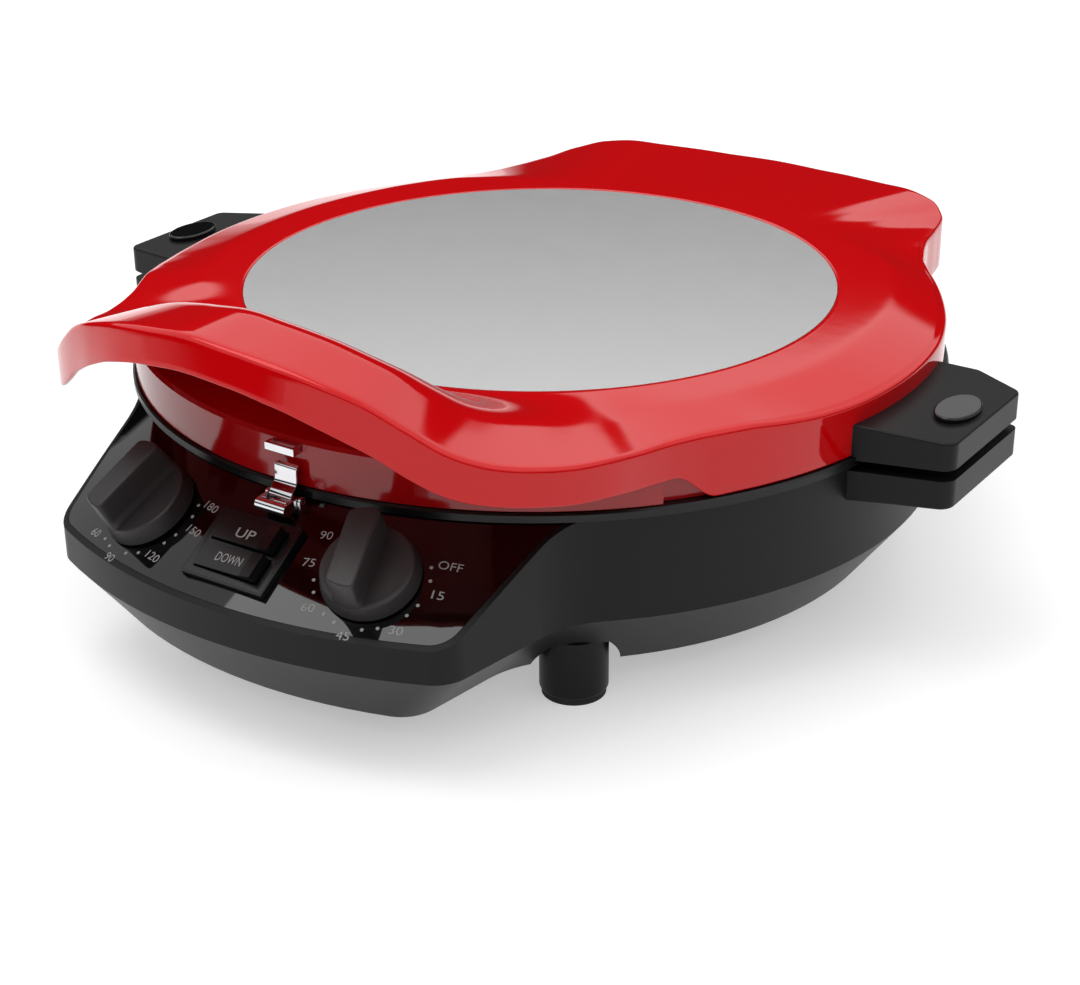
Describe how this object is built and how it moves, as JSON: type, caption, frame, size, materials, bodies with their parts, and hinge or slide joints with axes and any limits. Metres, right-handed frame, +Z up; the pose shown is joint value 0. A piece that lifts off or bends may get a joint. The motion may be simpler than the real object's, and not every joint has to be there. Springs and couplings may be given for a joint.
{
  "type": "electric pizza maker",
  "caption": "Round countertop pizza oven with a wavy hinged lid, front visor, two dials, rocker switches, latch and side handles.",
  "frame": {"origin": "on the table, below the middle of the whole object's box", "axes": "+Z up, +X to the right of the user who faces the control panel, -Y towards that user"},
  "size_m": [0.478, 0.4984, 0.1852],
  "materials": {
    "black_plastic": "satin",
    "panel_gloss": "high gloss",
    "rim_black": "satin enamel",
    "rubber": "matte",
    "zinc_steel": "zinc plated",
    "chrome": "polished",
    "nonstick": "non-stick coating",
    "element": "oxidised sheath",
    "aluminium": "rolled sheet",
    "ceramic": "unglazed steatite",
    "fitting_plastic": "moulded",
    "knob_plastic": "fine satin",
    "rocker_plastic": "satin gloss",
    "pad_plastic": "satin grey",
    "cover_red": "high gloss",
    "shell_red": "high gloss",
    "disc_grey": "satin"
  },
  "bodies": {
    "base": {"base_housing": "black_plastic", "control_panel": "panel_gloss", "bottom_cover": "black_plastic", "bottom_screws": "zinc_steel", "foot_front_right": "black_plastic", "foot_front_left": "black_plastic", "foot_back_right": "black_plastic", "foot_back_left": "black_plastic", "foot_pad_front_right": "rubber", "foot_pad_front_left": "rubber", "foot_pad_back_right": "rubber", "foot_pad_back_left": "rubber", "foot_screws": "zinc_steel", "rim_ring": "rim_black", "baking_pan": "nonstick", "lower_element": "element", "lower_reflector": "aluminium", "lower_element_clips": "ceramic", "thermostat": "fitting_plastic", "timer": "fitting_plastic", "switch_frame": "panel_gloss", "latch_bracket": "chrome", "lever_pin": "chrome", "lower_handle_right": "black_plastic", "lower_handle_left": "black_plastic", "lower_handle_screws": "zinc_steel", "hinge_bracket": "zinc_steel", "hinge_pin": "zinc_steel", "hinge_screws": "zinc_steel", "cord_gland": "black_plastic", "terminal_block": "ceramic"},
    "lid": {"lid_shell": "shell_red", "lid_cover": "cover_red", "lid_disc": "disc_grey", "lid_plate": "nonstick", "lid_plate_screws": "zinc_steel", "upper_reflector": "aluminium", "upper_element": "element", "upper_element_clips": "ceramic", "upper_handle_right": "black_plastic", "upper_handle_left": "black_plastic", "handle_pad_right": "pad_plastic", "handle_pad_left": "pad_plastic", "upper_handle_screws": "zinc_steel", "hinge_arm": "zinc_steel", "latch_keeper": "chrome"},
    "temperature_control": {"temperature_knob": "knob_plastic", "temperature_shaft": "zinc_steel"},
    "timer_control": {"timer_knob": "knob_plastic", "timer_shaft": "zinc_steel"},
    "up_switch": {"up_rocker": "rocker_plastic"},
    "down_switch": {"down_rocker": "rocker_plastic"},
    "latch_lever": {"latch_lever": "chrome", "strap_pin": "chrome"},
    "latch_strap": {"latch_strap": "chrome"}
  },
  "joints": [
    {"name": "lid_hinge", "type": "hinge", "parent": "base", "child": "lid", "pos_m": [0, 0.218, 0.097], "axis": [-1, 0, 0], "range_deg": [0, 100]},
    {"name": "temperature_turn", "type": "hinge", "parent": "base", "child": "temperature_control", "pos_m": [-0.05855, -0.21377, 0.08107], "axis": [-0.1376, -0.5117, 0.848], "range_deg": [-285, 0]},
    {"name": "timer_turn", "type": "hinge", "parent": "base", "child": "timer_control", "pos_m": [0.06272, -0.2126, 0.08107], "axis": [0.1474, -0.509, 0.848], "range_deg": [-285, 0]},
    {"name": "up_rock", "type": "hinge", "parent": "base", "child": "up_switch", "pos_m": [0.00289, -0.21691, 0.08333], "axis": [-0.0111, 0.848, 0.5299], "range_deg": [0, 14]},
    {"name": "down_rock", "type": "hinge", "parent": "base", "child": "down_switch", "pos_m": [0.00305, -0.22912, 0.0757], "axis": [-0.0111, 0.848, 0.5299], "range_deg": [0, 14]},
    {"name": "lever_swing", "type": "hinge", "parent": "base", "child": "latch_lever", "pos_m": [0.007, -0.1998, 0.0978], "axis": [-1, 0, 0], "range_deg": [0, 45]},
    {"name": "strap_swing", "type": "hinge", "parent": "latch_lever", "child": "latch_strap", "pos_m": [0.007, -0.2029, 0.0962], "axis": [1, 0, 0], "range_deg": [0, 45]}
  ],
  "couplings": [
    {"joint": "strap_swing", "follows": "lever_swing", "ratio": 1}
  ]
}
